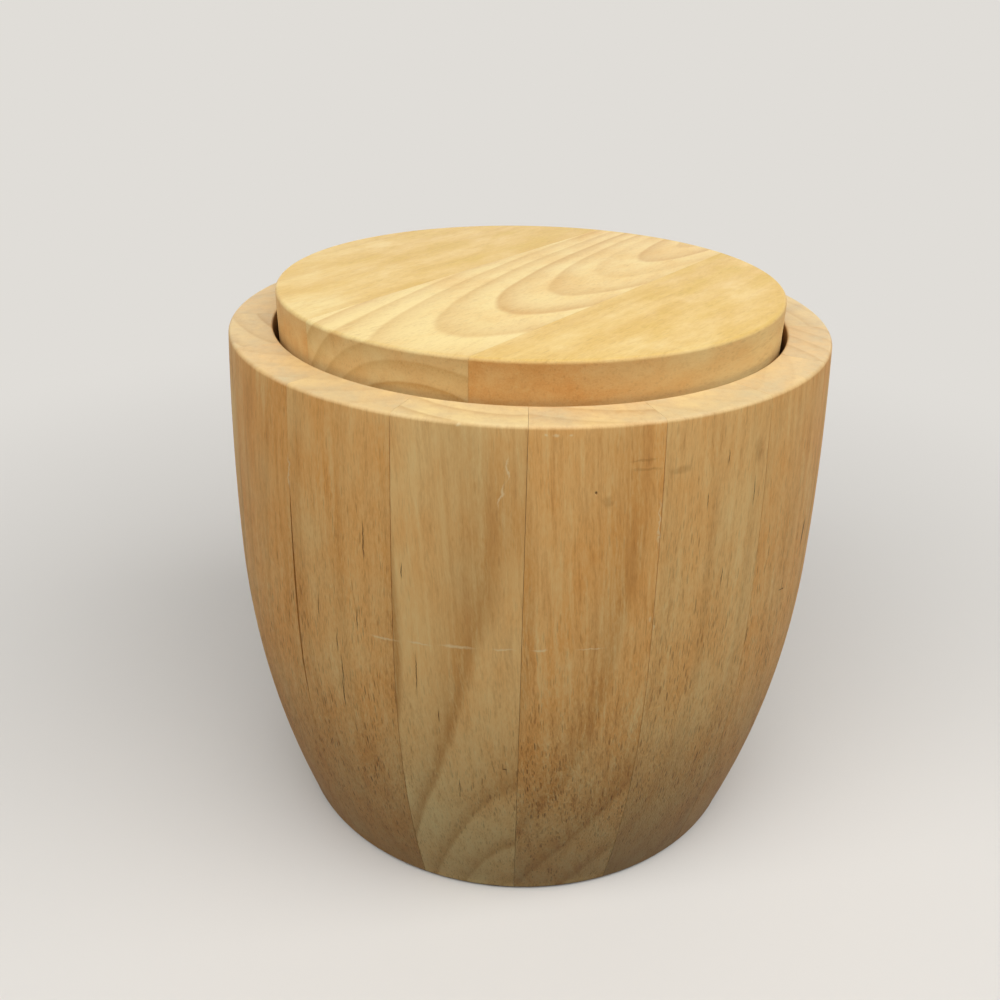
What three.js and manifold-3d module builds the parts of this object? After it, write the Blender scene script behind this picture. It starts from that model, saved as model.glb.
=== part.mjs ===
// Wooden ice bucket: a body glued up from staves and turned, a removable moulded liner, and a drop-in lid.
// Millimetres, +Z up. The origin is the centre of the foot ring, on the surface that the bucket stands on.
// Angles run from the front (-Y) towards +X, so the glue line between the first and the last stave is at the front.

import * as THREE from "three";
import { mergeVertices } from "three/addons/utils/BufferGeometryUtils.js";
import Module from "manifold-3d";

const wasm = await Module();
wasm.setup();

// Body: the outside of the stave ring
const STAVE_COUNT = 17;
const BODY_HEIGHT = 180;
const RIM_RADIUS = 100;
const BELLY_HEIGHT = 104;
const BELLY_SWELL = 3;
const FOOT_DRAW_IN = 14;

// Body: the turned mouth, and the edges broken by sanding
const RIM_LAND = 14;
const MOUTH_DEPTH = 12;
const LEDGE_WIDTH = 3;
const RIM_ROUND = 1.2;
const MOUTH_ROUND = 0.8;
const FOOT_ROUND = 2.4;

// Base panel, held in a groove cut round the inside of the staves
const BASE_RECESS = 7;
const BASE_THICKNESS = 10;
const GROOVE_DEPTH = 5;
const BASE_MIDDLE_WIDTH = 56;

// Liner: a tapered plastic bucket that hangs by its flange
const LINER_WALL = 2.2;
const FLANGE_THICKNESS = 2.5;
const LINER_CORNER = 9;

// Lid: three boards glued edge to edge, turned with a plug that drops into the liner
const LID_RISE = 12;
const LID_PLUG_DEPTH = 4;
const LID_ROUND = 1.2;
const LID_BOTTOM_CHAMFER = 1;
const LID_BOARD_TURN = 55;
const LID_MIDDLE_WIDTH = 57;
const LID_MIDDLE_OFFSET = -5.6;

// Joints and fits
const GLUE_LINE = 0.3;
const SEAT_GAP = 0.3;
const GROOVE_CLEARANCE = 0.3;
const FLANGE_CLEARANCE = 0.5;
const LINER_NECK_CLEARANCE = 1;
const LINER_FOOT_CLEARANCE = 2.5;
const LINER_FLOOR_CLEARANCE = 3;
const LID_CLEARANCE = 1.7;
const PLUG_CLEARANCE = 1.5;

// How finely curves are drawn
const SEGMENTS_PER_STAVE = 4;
const LATHE_SEGMENTS = STAVE_COUNT * SEGMENTS_PER_STAVE;
const SIDE_STEPS = 12;
const ROUND_STEPS = 3;
const CUT_MARGIN = 5;

// Heights and radii that follow from the sizes above
const BELLY_RADIUS = RIM_RADIUS + BELLY_SWELL;
const FOOT_RADIUS = RIM_RADIUS - FOOT_DRAW_IN;
const LEDGE_Z = BODY_HEIGHT - MOUTH_DEPTH;
const MOUTH_RADIUS = RIM_RADIUS - RIM_LAND;
const BORE_RADIUS = MOUTH_RADIUS - LEDGE_WIDTH;
const WALL = outsideRadius(LEDGE_Z) - BORE_RADIUS;
const BASE_TOP_Z = BASE_RECESS + BASE_THICKNESS;
const GROOVE_RADIUS = insideRadius(BASE_RECESS) + GROOVE_DEPTH;
const FLANGE_Z = LEDGE_Z + SEAT_GAP;
const FLANGE_TOP_Z = FLANGE_Z + FLANGE_THICKNESS;
const LINER_FOOT_Z = BASE_TOP_Z + LINER_FLOOR_CLEARANCE;
const LINER_NECK_RADIUS = BORE_RADIUS - LINER_NECK_CLEARANCE;
const LINER_FOOT_RADIUS = insideRadius(LINER_FOOT_Z) - LINER_FOOT_CLEARANCE;
const LINER_MOUTH_RADIUS = LINER_NECK_RADIUS - LINER_WALL;
const LID_SEAT_Z = FLANGE_TOP_Z + SEAT_GAP;
const LID_TOP_Z = BODY_HEIGHT + LID_RISE;
const LID_RADIUS = MOUTH_RADIUS - LID_CLEARANCE;
const LID_PLUG_RADIUS = LINER_MOUTH_RADIUS - PLUG_CLEARANCE;

// The outside is one parabola below the belly and another above it, both upright at the belly.
function outsideRadius(z) {
  const below = z < BELLY_HEIGHT;
  const span = below ? BELLY_HEIGHT : BODY_HEIGHT - BELLY_HEIGHT;
  const drop = BELLY_RADIUS - (below ? FOOT_RADIUS : RIM_RADIUS);
  return BELLY_RADIUS - drop * ((z - BELLY_HEIGHT) / span) ** 2;
}

// The inside follows the outside, one wall thickness in.
function insideRadius(z) {
  return outsideRadius(z) - WALL;
}

// Profile points (radius, height) along a wall, from one height to another.
function wallPoints(radiusAt, fromZ, toZ, steps) {
  return Array.from({ length: steps + 1 }, (_, i) => {
    const z = fromZ + ((toZ - fromZ) * i) / steps;
    return new THREE.Vector2(radiusAt(z), z);
  });
}

// Profile points of a rounded corner, with its centre and its angles in degrees.
function cornerPoints(centreRadius, centreZ, round, fromDegrees, toDegrees) {
  const arc = new THREE.EllipseCurve(
    centreRadius,
    centreZ,
    round,
    round,
    THREE.MathUtils.degToRad(fromDegrees),
    THREE.MathUtils.degToRad(toDegrees),
    toDegrees < fromDegrees,
  );
  return arc.getPoints(ROUND_STEPS);
}

// A three.js geometry as a solid that can be cut.
function solidOf(geometry) {
  const bare = geometry.clone();
  bare.deleteAttribute("normal");
  bare.deleteAttribute("uv");
  const merged = mergeVertices(bare, 1e-4);
  return new wasm.Manifold(
    new wasm.Mesh({
      numProp: 3,
      vertProperties: new Float32Array(merged.attributes.position.array),
      triVerts: new Uint32Array(merged.index.array),
    }),
  );
}

// A cut solid as a three.js geometry.
function geometryOf(solid) {
  const cut = solid.getMesh();
  const geometry = new THREE.BufferGeometry();
  geometry.setAttribute("position", new THREE.BufferAttribute(cut.vertProperties, 3));
  geometry.setIndex(new THREE.BufferAttribute(cut.triVerts, 1));
  geometry.computeVertexNormals();
  return geometry;
}

// A profile turned round the Z axis, with its first segment starting at the front.
function turned(points) {
  return new THREE.LatheGeometry(points, LATHE_SEGMENTS).rotateX(Math.PI / 2);
}

// The whole stave ring before it is divided: foot, outside, rim, mouth, ledge, bore and base groove.
function staveRing() {
  const footSide = new THREE.Vector2(outsideRadius(FOOT_ROUND), FOOT_ROUND);
  const rimSide = BODY_HEIGHT - RIM_ROUND;
  const profile = [
    new THREE.Vector2(insideRadius(0), 0),
    ...cornerPoints(footSide.x - FOOT_ROUND, FOOT_ROUND, FOOT_ROUND, -90, 0),
    ...wallPoints(outsideRadius, FOOT_ROUND, rimSide, SIDE_STEPS).slice(1),
    ...cornerPoints(outsideRadius(rimSide) - RIM_ROUND, rimSide, RIM_ROUND, 0, 90).slice(1),
    ...cornerPoints(MOUTH_RADIUS + MOUTH_ROUND, BODY_HEIGHT - MOUTH_ROUND, MOUTH_ROUND, 90, 180),
    new THREE.Vector2(MOUTH_RADIUS, LEDGE_Z),
    ...wallPoints(insideRadius, LEDGE_Z, BASE_TOP_Z, SIDE_STEPS / 2),
    new THREE.Vector2(GROOVE_RADIUS, BASE_TOP_Z),
    new THREE.Vector2(GROOVE_RADIUS, BASE_RECESS),
    new THREE.Vector2(insideRadius(BASE_RECESS), BASE_RECESS),
    new THREE.Vector2(insideRadius(0), 0),
  ];
  return solidOf(turned(profile));
}

// The bevelled sector of one stave, centred on the front, half a glue line inside its true edges.
function staveSector() {
  const halfAngle = Math.PI / STAVE_COUNT;
  const apex = GLUE_LINE / 2 / Math.sin(halfAngle);
  const reach = Math.max(RIM_RADIUS, BELLY_RADIUS, FOOT_RADIUS) + CUT_MARGIN;
  const halfWidth = (reach - apex) * Math.tan(halfAngle);
  const outline = new THREE.Shape([
    new THREE.Vector2(0, -apex),
    new THREE.Vector2(-halfWidth, -reach),
    new THREE.Vector2(halfWidth, -reach),
  ]);
  const sector = new THREE.ExtrudeGeometry(outline, {
    depth: BODY_HEIGHT + 2 * CUT_MARGIN,
    bevelEnabled: false,
  });
  return solidOf(sector.translate(0, 0, -CUT_MARGIN));
}

// One stave, centred on the front.
function staveGeometry() {
  const halfPitch = 180 / STAVE_COUNT;
  return geometryOf(staveRing().rotate([0, 0, halfPitch]).intersect(staveSector()));
}

// The base panel as one disc that sits in the groove.
function basePanel() {
  const radius = GROOVE_RADIUS - GROOVE_CLEARANCE;
  const bottom = BASE_RECESS + GROOVE_CLEARANCE;
  const top = BASE_TOP_Z - GROOVE_CLEARANCE;
  return solidOf(
    turned([
      new THREE.Vector2(0, bottom),
      new THREE.Vector2(radius, bottom),
      new THREE.Vector2(radius, top),
      new THREE.Vector2(0, top),
    ]),
  );
}

// The lid as one turned disc: plug, seat, side and rounded top edge.
function lidDisc() {
  const plugZ = LID_SEAT_Z - LID_PLUG_DEPTH;
  return solidOf(
    turned([
      new THREE.Vector2(0, plugZ),
      new THREE.Vector2(LID_PLUG_RADIUS - LID_BOTTOM_CHAMFER, plugZ),
      new THREE.Vector2(LID_PLUG_RADIUS, plugZ + LID_BOTTOM_CHAMFER),
      new THREE.Vector2(LID_PLUG_RADIUS, LID_SEAT_Z),
      new THREE.Vector2(LID_RADIUS - LID_BOTTOM_CHAMFER, LID_SEAT_Z),
      new THREE.Vector2(LID_RADIUS, LID_SEAT_Z + LID_BOTTOM_CHAMFER),
      ...cornerPoints(LID_RADIUS - LID_ROUND, LID_TOP_Z - LID_ROUND, LID_ROUND, 0, 90),
      new THREE.Vector2(0, LID_TOP_Z),
    ]),
  );
}

// A disc divided into a left, a middle and a right board that run along X, with glue lines between them.
function boardsOf(disc, middleWidth, middleOffset) {
  const reach = 2 * (BELLY_RADIUS + CUT_MARGIN);
  const leftEdge = middleOffset + middleWidth / 2;
  const rightEdge = middleOffset - middleWidth / 2;
  const slab = (fromY, toY) =>
    solidOf(new THREE.BoxGeometry(reach, toY - fromY, 2 * reach).translate(0, (fromY + toY) / 2, 0));
  return {
    left: disc.intersect(slab(leftEdge + GLUE_LINE / 2, reach)),
    middle: disc.intersect(slab(rightEdge + GLUE_LINE / 2, leftEdge - GLUE_LINE / 2)),
    right: disc.intersect(slab(-reach, rightEdge - GLUE_LINE / 2)),
  };
}

// The liner: outside up to the flange, then the inside back down to a floor with a round corner.
function linerGeometry() {
  const cornerRadius = LINER_FOOT_RADIUS - LINER_CORNER;
  const cornerZ = LINER_FOOT_Z + LINER_CORNER;
  return turned([
    new THREE.Vector2(0, LINER_FOOT_Z),
    ...cornerPoints(cornerRadius, cornerZ, LINER_CORNER, -90, 0),
    new THREE.Vector2(LINER_NECK_RADIUS, FLANGE_Z),
    new THREE.Vector2(MOUTH_RADIUS - FLANGE_CLEARANCE, FLANGE_Z),
    new THREE.Vector2(MOUTH_RADIUS - FLANGE_CLEARANCE, FLANGE_TOP_Z),
    new THREE.Vector2(LINER_MOUTH_RADIUS, FLANGE_TOP_Z),
    ...cornerPoints(cornerRadius, cornerZ, LINER_CORNER - LINER_WALL, 0, -90),
    new THREE.Vector2(0, LINER_FOOT_Z + LINER_WALL),
  ]);
}

function wood(colour) {
  return new THREE.MeshStandardMaterial({ color: colour, roughness: 0.55, metalness: 0 });
}

function piece(name, geometry, material) {
  const mesh = new THREE.Mesh(geometry, material);
  mesh.name = name;
  return mesh;
}

// Staves vary in tone from pale sapwood to honey, in no order.
const staveTones = [0xc08f52, 0xc99b5c, 0xb98a50, 0xc4985a, 0xbd8c4e];
const lidTones = { left: 0xd9b06c, middle: 0xe3c07e, right: 0xdcb571 };
const baseWood = wood(0xc6985a);
const linerPlastic = new THREE.MeshStandardMaterial({ color: 0x1b1b1c, roughness: 0.45, metalness: 0 });

const bucket = new THREE.Group();
const stave = staveGeometry();
for (let i = 0; i < STAVE_COUNT; i += 1) {
  const number = String(i + 1).padStart(2, "0");
  const mesh = piece(`stave_${number}`, stave, wood(staveTones[(i * 3) % staveTones.length]));
  mesh.rotation.z = ((i + 0.5) * 2 * Math.PI) / STAVE_COUNT;
  bucket.add(mesh);
}
for (const [side, board] of Object.entries(boardsOf(basePanel(), BASE_MIDDLE_WIDTH, 0))) {
  bucket.add(piece(`base_board_${side}`, geometryOf(board), baseWood));
}

const liner = new THREE.Group();
liner.add(piece("liner", linerGeometry(), linerPlastic));

const lid = new THREE.Group();
lid.rotation.z = THREE.MathUtils.degToRad(LID_BOARD_TURN);
for (const [side, board] of Object.entries(boardsOf(lidDisc(), LID_MIDDLE_WIDTH, LID_MIDDLE_OFFSET))) {
  lid.add(piece(`lid_board_${side}`, geometryOf(board), wood(lidTones[side])));
}

const iceBucket = new THREE.Group();
iceBucket.add(bucket, liner, lid);

export default iceBucket;
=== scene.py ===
# %% [markdown]
# # A wooden ice bucket
# The bucket is a turned ring of glued rubberwood staves, a black plastic liner and a wooden lid.
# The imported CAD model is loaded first. It fixes every place and size, so each piece made below is
# built straight into the CAD model's own frame: metres, Z up, the foot ring centred on the origin.

# %% Load the frame
import bmesh
import bpy
import math
import random
from mathutils import Matrix, Vector


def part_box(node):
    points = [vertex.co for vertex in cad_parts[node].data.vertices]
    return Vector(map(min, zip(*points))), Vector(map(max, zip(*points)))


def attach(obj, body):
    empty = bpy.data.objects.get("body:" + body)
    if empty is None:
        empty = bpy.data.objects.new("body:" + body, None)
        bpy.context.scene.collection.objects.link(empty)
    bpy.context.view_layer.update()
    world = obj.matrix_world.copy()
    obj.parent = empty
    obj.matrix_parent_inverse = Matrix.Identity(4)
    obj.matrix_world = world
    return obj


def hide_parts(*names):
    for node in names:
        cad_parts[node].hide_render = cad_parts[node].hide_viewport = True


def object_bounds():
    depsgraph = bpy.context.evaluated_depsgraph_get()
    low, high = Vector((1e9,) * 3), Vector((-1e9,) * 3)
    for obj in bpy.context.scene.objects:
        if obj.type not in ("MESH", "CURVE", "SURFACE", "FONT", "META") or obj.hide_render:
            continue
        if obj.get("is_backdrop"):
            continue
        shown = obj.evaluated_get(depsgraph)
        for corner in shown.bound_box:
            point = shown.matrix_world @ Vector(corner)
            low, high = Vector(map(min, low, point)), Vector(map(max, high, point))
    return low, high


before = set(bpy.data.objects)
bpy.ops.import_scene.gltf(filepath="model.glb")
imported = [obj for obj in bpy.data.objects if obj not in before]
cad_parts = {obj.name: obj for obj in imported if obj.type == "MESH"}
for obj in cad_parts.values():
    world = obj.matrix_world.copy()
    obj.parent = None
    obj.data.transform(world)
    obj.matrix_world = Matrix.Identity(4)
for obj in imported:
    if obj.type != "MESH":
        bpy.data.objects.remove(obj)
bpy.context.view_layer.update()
MM = 0.001

# %% [markdown]
# ## Sizes of the body
# The body follows from a few turned sizes in millimetres. Its height is read from the frame, so that
# the height can't drift from the CAD model.
# The outline could be traced point by point. Two parabolas that meet at the belly follow the real curve
# as closely, and need only three radii.

# %% Sizes in millimetres
STAVES = 17
STAVE_STEP = 2 * math.pi / STAVES
RIM_RADIUS, BELLY_RADIUS, FOOT_RADIUS = 100.0, 103.0, 86.0
BELLY_HEIGHT = 104.0
BODY_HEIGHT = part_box("stave_01")[1].z / MM
MOUTH_RADIUS, BORE_RADIUS, LEDGE_DEPTH = 86.0, 83.0, 12.0
LEDGE_HEIGHT = BODY_HEIGHT - LEDGE_DEPTH


def outside(z):
    """Radius of the turned outside at a height: one parabola below the belly, one above."""
    if z < BELLY_HEIGHT:
        fall, reach = BELLY_RADIUS - FOOT_RADIUS, BELLY_HEIGHT
    else:
        fall, reach = BELLY_RADIUS - RIM_RADIUS, BODY_HEIGHT - BELLY_HEIGHT
    return BELLY_RADIUS - fall * ((z - BELLY_HEIGHT) / reach) ** 2


WALL = outside(LEDGE_HEIGHT) - BORE_RADIUS
print("wall thickness", round(WALL, 2), "mm")

# %% [markdown]
# ## Node helper
# Materials are node graphs. They could be drawn in the editor, but a script can be read and changed.
# One small function adds a node, sets its properties, and fills its inputs either with a value or with
# a link from another node. Colours are written as the sRGB hex values that a paint program shows, and
# turned to the linear values that light is computed in.

# %% Node helper and colours


def add(tree, kind, inputs=None, **settings):
    """A new shader node with its settings made and its inputs set or linked."""
    node = tree.nodes.new("ShaderNode" + kind)
    for name, value in settings.items():
        setattr(node, name, value)
    for key, value in (inputs or {}).items():
        if isinstance(value, bpy.types.Node):
            value = value.outputs[0]
        if isinstance(value, bpy.types.NodeSocket):
            tree.links.new(value, node.inputs[key])
        else:
            node.inputs[key].default_value = value
    return node


def linear(hex_colour):
    """A colour such as #E6C588 as linear red, green, blue and alpha."""
    parts = [int(hex_colour[i : i + 2], 16) / 255 for i in (1, 3, 5)]
    return (*(p / 12.92 if p <= 0.04045 else ((p + 0.055) / 1.055) ** 2.4 for p in parts), 1.0)


def new_material(name):
    """An empty node material and its tree."""
    material = bpy.data.materials.new(name)
    material.use_nodes = True
    material.node_tree.nodes.clear()
    return material, material.node_tree


print("straw colour in linear light:", [round(v, 3) for v in linear("#E6C588")])

# %% [markdown]
# ## Rubberwood: where the wood grew
# Rubberwood is a pale, even, straw-to-honey wood with soft growth rings and open pores. A picture wrapped
# on the outside couldn't turn the corner from a board's face to its end grain. So the pattern is solid:
# each board carries the place in its log that it was sawn from, as a vector on its vertices in millimetres
# with the pith along Z, and every cut surface then shows the right figure.
# No tree grows straight, so two noises push that place to the side: a slow wander and a finer waviness.

# %% Place in the log
WANDERS = ((30.0, 90.0, 2.5), (7.0, 22.0, 2.0))  # millimetres across and along the grain, and the reach


def stretched(tree, place, across_mm, along_mm, deep=1.0):
    """The place scaled so that one unit is so many millimetres across the grain and along it.

    Into the board, the unit is deeper by the last number."""
    scale = (1 / across_mm, 1 / across_mm / deep, 1 / along_mm)
    return add(tree, "VectorMath", {0: place, 1: scale}, operation="MULTIPLY")


def grain(tree):
    """The place in the log after the slow wander, and again after the waviness."""
    places = [add(tree, "Attribute", attribute_name="log_place").outputs["Vector"]]
    for across, along, reach in WANDERS:
        at = stretched(tree, places[0], across, along)
        noise = add(tree, "TexNoise", {"Vector": at, "Scale": 1.0, "Detail": 2.0}).outputs["Color"]
        push = add(tree, "VectorMath", {0: noise, 1: (0.5, 0.5, 0.5)}, operation="SUBTRACT")
        places.append(add(tree, "VectorMath", {0: push, 1: (reach, reach, 0.0), 2: places[-1]},
                          operation="MULTIPLY_ADD"))
    return places[1:]


print("the grain wanders about", WANDERS[0][2] / 4, "mm to each side")

# %% [markdown]
# ## Rubberwood: growth rings
# Each year's ring ends in a darker edge. Going outwards the wood darkens slowly, then turns pale at once
# where the next year starts. A wave texture would make all rings alike. Here the distance from the pith,
# divided by the ring width, gives the year and the part of it, and each year draws its own strength,
# because good and bad years differ.

# %% Growth rings
YEAR_START, YEAR_EDGE = 0.1, 0.86  # the parts of a year at which the wood starts to darken, and is darkest
WEAK_YEAR = 0.3  # how strong the faintest ring is


def rings(tree, place, ring_mm, late, first_year):
    """How far the growth rings darken a place, from 0 to 1.

    The higher late is, the later in the year it starts. The first year's number picks the good years."""
    across = add(tree, "VectorMath", {0: place, 1: (1, 1, 0)}, operation="MULTIPLY")
    radius = add(tree, "VectorMath", {0: across}, operation="LENGTH").outputs["Value"]
    years = add(tree, "Math", {0: radius, 1: ring_mm}, operation="DIVIDE")
    part = add(tree, "Math", {0: years}, operation="FRACT")
    rise = add(tree, "MapRange", {"Value": part, "From Min": YEAR_START, "From Max": YEAR_EDGE})
    rise = add(tree, "Math", {0: rise, 1: late}, operation="POWER")
    fall = add(tree, "MapRange", {"Value": part, "From Min": 1.0, "From Max": YEAR_EDGE},
               interpolation_type="SMOOTHSTEP")
    year = add(tree, "Math", {0: years}, operation="FLOOR")
    year = add(tree, "Math", {0: year, 1: first_year}, operation="ADD")
    chance = add(tree, "TexWhiteNoise", {"W": year}, noise_dimensions="1D")
    strength = add(tree, "MapRange", {"Value": chance, "To Min": WEAK_YEAR, "To Max": 1.0})
    edge = add(tree, "Math", {0: rise, 1: fall}, operation="MULTIPLY")
    return add(tree, "Math", {0: edge, 1: strength}, operation="MULTIPLY")


print("the darkest part of a ring lies at", YEAR_EDGE, "of its width")

# %% [markdown]
# ## Rubberwood: clouds and streaks
# Between the rings the tone drifts in soft clouds. Over them run brown streaks of a few millimetres and
# fibres of half a millimetre, all long along the grain. One noise, stretched along the grain to three
# sizes, draws all of them.

# %% Clouds and streaks
CLOUD = (14.0, 32.0, 5.0)  # millimetres across and along the grain, and how many finer levels
STREAK = (2.4, 60.0, 3.0)
FIBRE = (0.45, 2.2, 2.0)
OPEN_FIBRE, CLOSED_FIBRE = 1.7, 0.3  # how strong the fibres get with open pores, and without


def drift(tree, place, sizes):
    """A noise about zero, stretched along the grain."""
    across, along, levels = sizes
    at = stretched(tree, place, across, along)
    noise = add(tree, "TexNoise", {"Vector": at, "Scale": 1.0, "Detail": levels, "Roughness": 0.62})
    return add(tree, "Math", {0: noise, 1: 0.5}, operation="SUBTRACT")


def streaks(tree, place, streaky, openness):
    """Streaks as strong as the board has them, and fibres that stand out at open pores, about zero."""
    streak = add(tree, "Math", {0: drift(tree, place, STREAK), 1: streaky}, operation="MULTIPLY")
    loose = add(tree, "Math", {0: openness, 1: OPEN_FIBRE, 2: CLOSED_FIBRE}, operation="MULTIPLY_ADD")
    return add(tree, "Math", {0: drift(tree, place, FIBRE), 1: loose, 2: streak}, operation="MULTIPLY_ADD")


print("streaks", STREAK[0], "mm and fibres", FIBRE[0], "mm across")

# %% [markdown]
# ## Rubberwood: pores
# The pores are tubes along the grain, drawn at up to half a millimetre, wider than real ones so that they
# show. Where the surface runs along the grain they are thin lines. Where it cuts across, near the foot, the
# same tubes are cut short into dark dashes. A cell noise stretched along the grain gives one tube a cell.

# %% Pores
# Millimetres from pore to pore across and along the grain, the pore's radius as a share of that, how dark
# it is, and the share of places that hold no pore.
PORES = ((1.0, 7.0, 0.36, 0.85, 0.4), (0.5, 5.0, 0.42, 0.6, 0.25))
PORE_DEEP = 1.5  # pores stand in short rows towards the pith
PORE_CORE = 0.5  # the share of its radius within which a pore is fully dark
PORE_RANGE = 0.3  # how gradually places go from holding no pore to holding a dark one
PALE_CLOUD, DARK_CLOUD, PALE_PORES = -0.12, 0.1, 0.4  # pores fade to the last number in pale clouds


def pores(tree, place, cloud):
    """One inside a pore and zero between, each of its own strength, and crowded where clouds are dark."""
    total = 0.0
    for across, along, radius, dark, empty in PORES:
        at = stretched(tree, place, across, along, PORE_DEEP)
        cell = add(tree, "TexVoronoi", {"Vector": at, "Scale": 1.0}, feature="F1")
        tube = add(tree, "MapRange", {"Value": cell, "From Min": radius, "From Max": PORE_CORE * radius,
                                      "To Max": dark}, interpolation_type="SMOOTHSTEP")
        chance = add(tree, "SeparateXYZ", {0: cell.outputs["Color"]})
        filled = add(tree, "MapRange", {"Value": chance, "From Min": empty, "From Max": empty + PORE_RANGE})
        tube = add(tree, "Math", {0: tube, 1: filled}, operation="MULTIPLY")
        total = add(tree, "Math", {0: tube, 1: total}, operation="MAXIMUM")
    crowd = add(tree, "MapRange", {"Value": cloud, "From Min": PALE_CLOUD, "From Max": DARK_CLOUD,
                                   "To Min": PALE_PORES, "To Max": 1.0})
    return add(tree, "Math", {0: total, 1: crowd}, operation="MULTIPLY")


print("one pore to each", PORES[0][0], "mm and a finer one to each", PORES[1][0], "mm")

# %% [markdown]
# ## Wear marks
# The bucket has been used. The lacquer has short dry cracks along the grain, a line of pale scuffs round the
# belly, a curved scratch and chips at the rim, and a few brown stains. Noise would scatter such marks
# anywhere, but each belongs to one place, so they are listed one by one: the angle round from the front in
# degrees, the height, half the width and half the height in millimetres, and a lean in degrees.

# %% Marks on the outside
CRACKS = [
    (-26.2, 140.5, 0.24, 7.5, 0), (-32.6, 102, 0.18, 4, 0), (-32.2, 83, 0.26, 8, 0),
    (-31.9, 92, 0.22, 7, 0), (-17.2, 100, 0.16, 9, 0), (-19.4, 134, 0.18, 3, 0), (-13.5, 86, 0.18, 3, 0),
    (-10.3, 57, 0.18, 4, 0), (29.5, 154.5, 0.16, 2.5, 0), (33.2, 166, 0.16, 3, 0),
    (39.7, 152.5, 0.18, 6, 0), (34.0, 128, 0.18, 4, 0), (42.6, 102, 0.22, 4, 0), (60.8, 125, 0.9, 6, -8),
    (53.2, 110, 2.8, 0.22, -12), (-28.0, 113, 0.18, 4, 0), (-36.5, 112, 0.18, 5, 0),
    (-2.2, 67, 0.9, 0.45, 0), (10.4, 161.3, 0.5, 0.5, 0),
]
SCUFFS = [
    (-22.9, 110.0, 5.5, 0.5, 2), (-16.6, 111.2, 4.5, 0.45, 1), (-10.4, 112.2, 6.0, 0.5, 2),
    (-2.9, 112.8, 4.0, 0.4, 1), (2.8, 112.7, 2.9, 0.5, 2), (11.0, 112.5, 5.0, 0.25, 0),
    (2.6, 177.6, 0.8, 0.5, 0), (4.2, 177.5, 1.0, 0.5, -4), (6.1, 177.3, 0.7, 0.4, 0),
    (-2.9, 168.0, 0.35, 4.0, 3), (-3.7, 160.5, 0.4, 4.6, -14), (-10.2, 179.3, 0.9, 0.6, 0),
    (20.6, 120.2, 0.5, 1.2, 0), (21.4, 117.0, 0.4, 1.0, 0), (-42.4, 153.0, 0.5, 7.0, 0),
    (20.9, 150.0, 0.35, 9.0, 0),
]
STAINS = [
    (17.9, 169.5, 5.0, 0.5, 0), (18.3, 166.7, 5.5, 0.6, -4), (23.9, 165.2, 4.5, 1.5, 0),
    (12.3, 158.5, 1.8, 2.2, 0), (-31.8, 28.3, 2.5, 1.3, 0), (-29.0, 20.8, 2.2, 1.1, 0),
    (40.0, 165.0, 2.0, 5.0, 0),
]
print(len(CRACKS), "cracks,", len(SCUFFS), "scuffs and", len(STAINS), "stains")

# %% [markdown]
# ## Drawing the marks
# To find its marks, the material unrolls the outside: the angle times the belly's radius is the length round
# it, and the height stays. On that sheet each mark is a soft ellipse. A noise pushes the sheet a little for
# cracks and more for scuffs and stains, so that their edges come out ragged or torn.

# %% Mark nodes
RAGGED_MM = 2.5  # the size of the noise
RAGGED, TORN = (0.7, 1.6, 0.0), (3.0, 1.8, 0.0)  # the push round and up, in millimetres
MARK_EDGE, MARK_CORE = 1.1, 0.3  # where a mark fades in and is full, as shares of its half size


def skin(tree):
    """Length round from the front and height, in millimetres, once ragged and once torn.

    The third value is one on the outside of the wall only."""
    at = add(tree, "TexCoord").outputs["Object"]
    x, y, z = add(tree, "SeparateXYZ", {0: at}).outputs
    front = add(tree, "Math", {0: y, 1: -1.0}, operation="MULTIPLY")
    angle = add(tree, "Math", {0: x, 1: front}, operation="ARCTAN2")
    arc = add(tree, "Math", {0: angle, 1: BELLY_RADIUS}, operation="MULTIPLY")
    height = add(tree, "Math", {0: z, 1: 1 / MM}, operation="MULTIPLY")
    unrolled = add(tree, "CombineXYZ", {"X": arc, "Y": height})
    noise = add(tree, "TexNoise", {"Vector": unrolled, "Scale": 1 / RAGGED_MM, "Detail": 3.0})
    push = add(tree, "VectorMath", {0: noise.outputs["Color"], 1: (0.5, 0.5, 0.5)}, operation="SUBTRACT")
    ragged, torn = (add(tree, "VectorMath", {0: push, 1: reach, 2: unrolled}, operation="MULTIPLY_ADD")
                    for reach in (RAGGED, TORN))
    level = add(tree, "VectorMath", {0: at, 1: (1, 1, 0)}, operation="MULTIPLY")
    radius = add(tree, "VectorMath", {0: level}, operation="LENGTH").outputs["Value"]
    outer = add(tree, "Math", {0: radius, 1: (FOOT_RADIUS - 0.5) * MM}, operation="GREATER_THAN")
    return ragged, torn, outer


def marked(tree, unrolled, outer, places):
    """One where any of the listed marks lies, and zero elsewhere."""
    total = 0.0
    for angle, height, half_width, half_height, lean in places:
        centre = (math.radians(angle) * BELLY_RADIUS, height, 0)
        local = add(tree, "Mapping",
                    {"Vector": unrolled, "Location": centre, "Rotation": (0, 0, math.radians(lean)),
                     "Scale": (half_width, half_height, 1)}, vector_type="TEXTURE")
        away = add(tree, "VectorMath", {0: local}, operation="LENGTH").outputs["Value"]
        mark = add(tree, "MapRange", {"Value": away, "From Min": MARK_EDGE, "From Max": MARK_CORE},
                   interpolation_type="SMOOTHSTEP")
        total = add(tree, "Math", {0: mark, 1: total}, operation="MAXIMUM")
    return add(tree, "Math", {0: total, 1: outer}, operation="MULTIPLY")


print("the edges of scuffs are torn by up to", TORN[0] / 2, "mm")
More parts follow.
